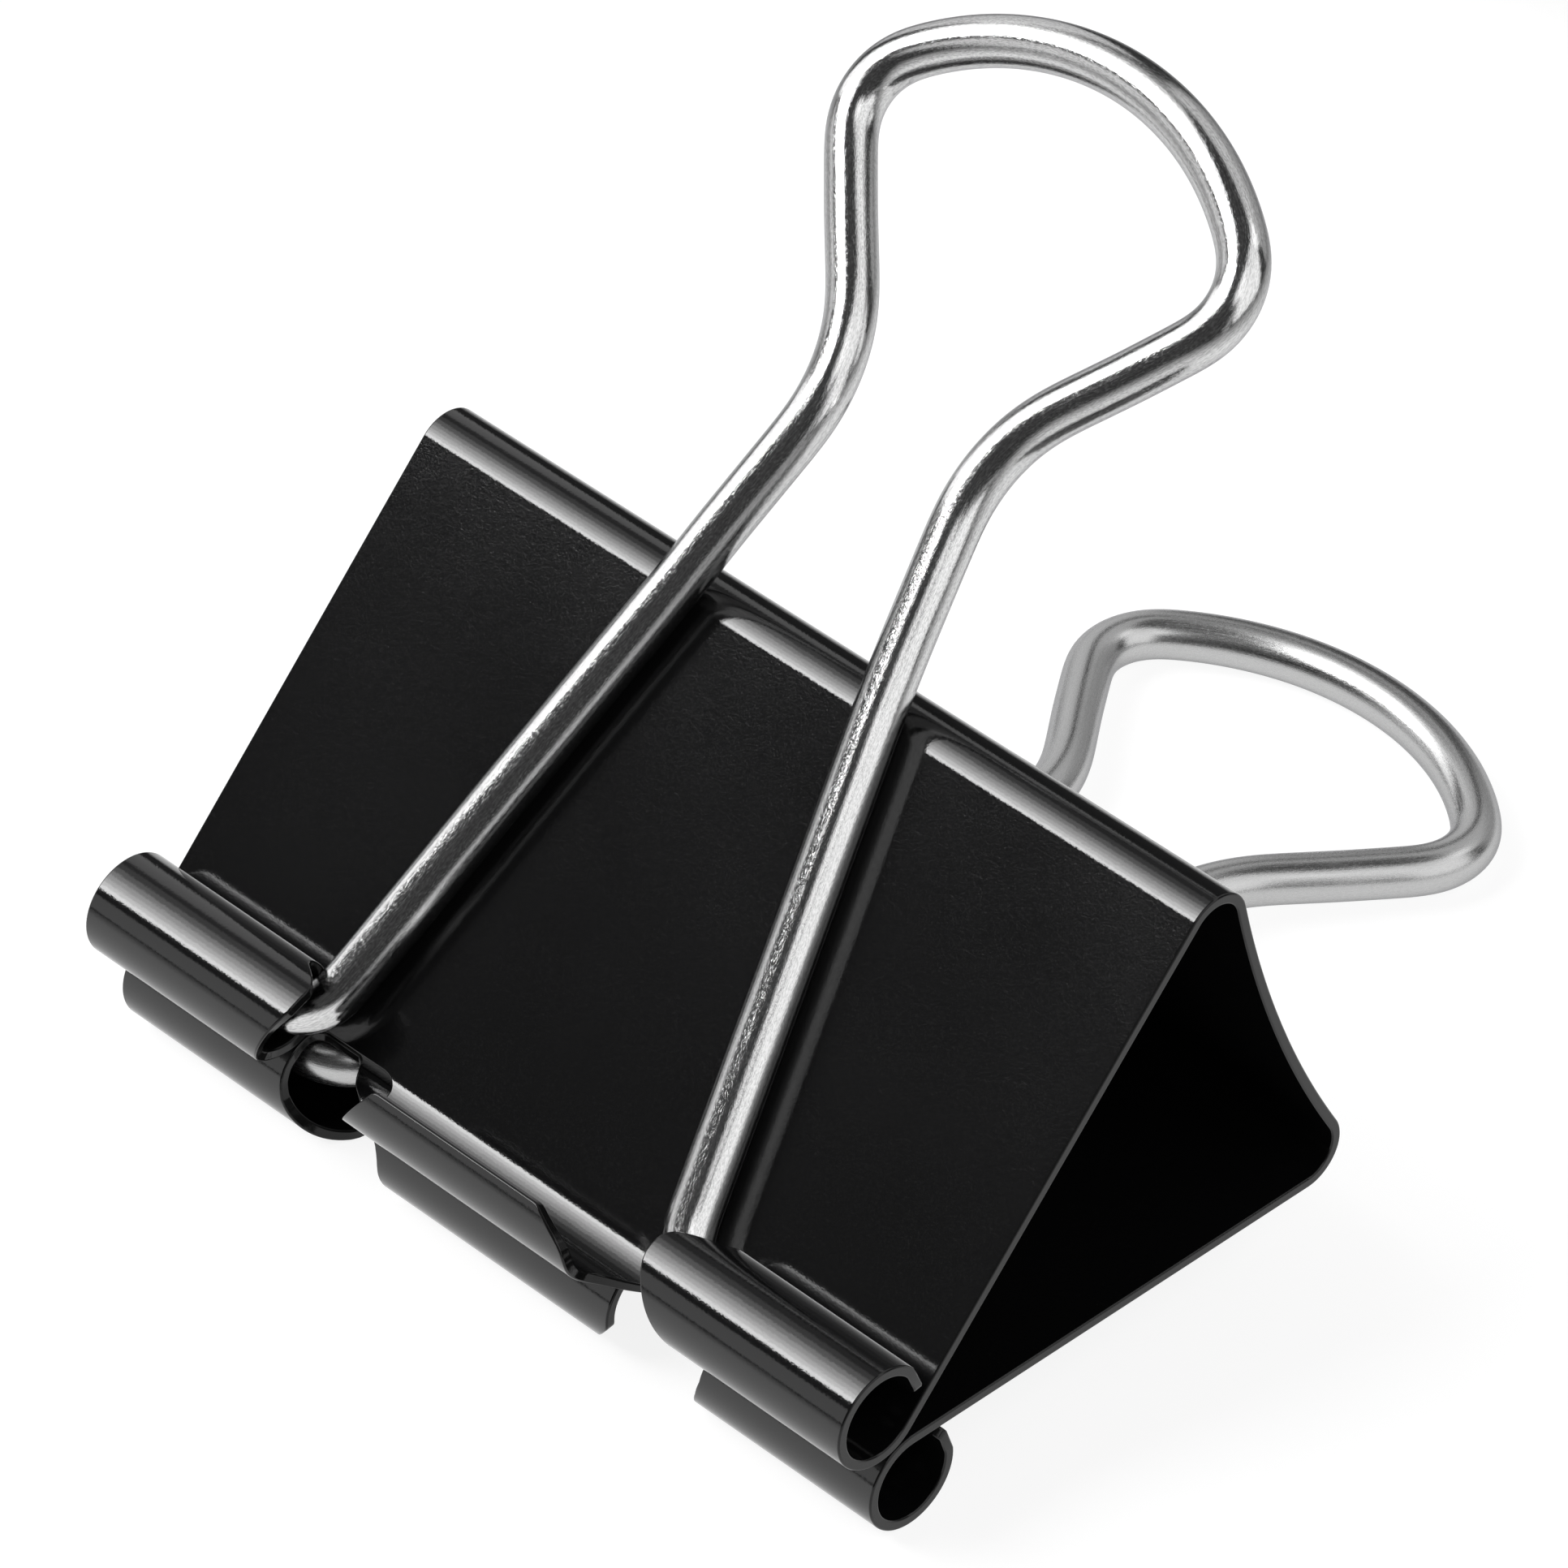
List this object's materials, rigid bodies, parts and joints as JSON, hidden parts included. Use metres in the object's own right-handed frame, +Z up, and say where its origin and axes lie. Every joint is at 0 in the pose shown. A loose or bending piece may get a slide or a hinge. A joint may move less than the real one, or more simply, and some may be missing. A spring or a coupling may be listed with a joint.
{
  "type": "binder clip",
  "caption": "Sprung steel binder clip: a folded black sheet grips a stack of paper between rolled lips, and two wire loop handles pivot in the lips to open it.",
  "frame": {"origin": "centre of the bounding box, on the table that the lower lips and the lower handle's crown stand on", "axes": "+X across the clip, +Y from the jaws to the spine, +Z up from the table"},
  "size_m": [0.032, 0.0403, 0.0315],
  "materials": {
    "enamel": "gloss",
    "nickel": "polished"
  },
  "bodies": {
    "spine": {"spine_wall": "enamel"},
    "upper_jaw": {"upper_leaf": "enamel", "upper_fold": "enamel", "upper_barrel_left": "enamel", "upper_barrel_right": "enamel", "upper_centre_lip": "enamel"},
    "lower_jaw": {"lower_leaf": "enamel", "lower_fold": "enamel", "lower_barrel_left": "enamel", "lower_barrel_right": "enamel", "lower_centre_lip": "enamel"},
    "upper_handle": {"upper_handle": "nickel"},
    "lower_handle": {"lower_handle": "nickel"}
  },
  "joints": [
    {"name": "upper_jaw_flex", "type": "hinge", "parent": "spine", "child": "upper_jaw", "pos_m": [0, -0.00368, 0.0153], "axis": [-1, 0, 0], "range_deg": [0, 27], "stiffness_Nm_per_rad": 0.02, "springref_deg": -14.9},
    {"name": "lower_jaw_flex", "type": "hinge", "parent": "spine", "child": "lower_jaw", "pos_m": [0, 0.00068, 0.00438], "axis": [1, 0, 0], "range_deg": [0, 27], "stiffness_Nm_per_rad": 0.02, "springref_deg": -14.9},
    {"name": "upper_handle_swing", "type": "hinge", "parent": "upper_jaw", "child": "upper_handle", "pos_m": [0, -0.01806, 0.00461], "axis": [1, 0, 0], "range_deg": [0, 156]},
    {"name": "lower_handle_swing", "type": "hinge", "parent": "lower_jaw", "child": "lower_handle", "pos_m": [0, -0.01712, 0.00224], "axis": [-1, 0, 0], "range_deg": [0, 156]}
  ]
}
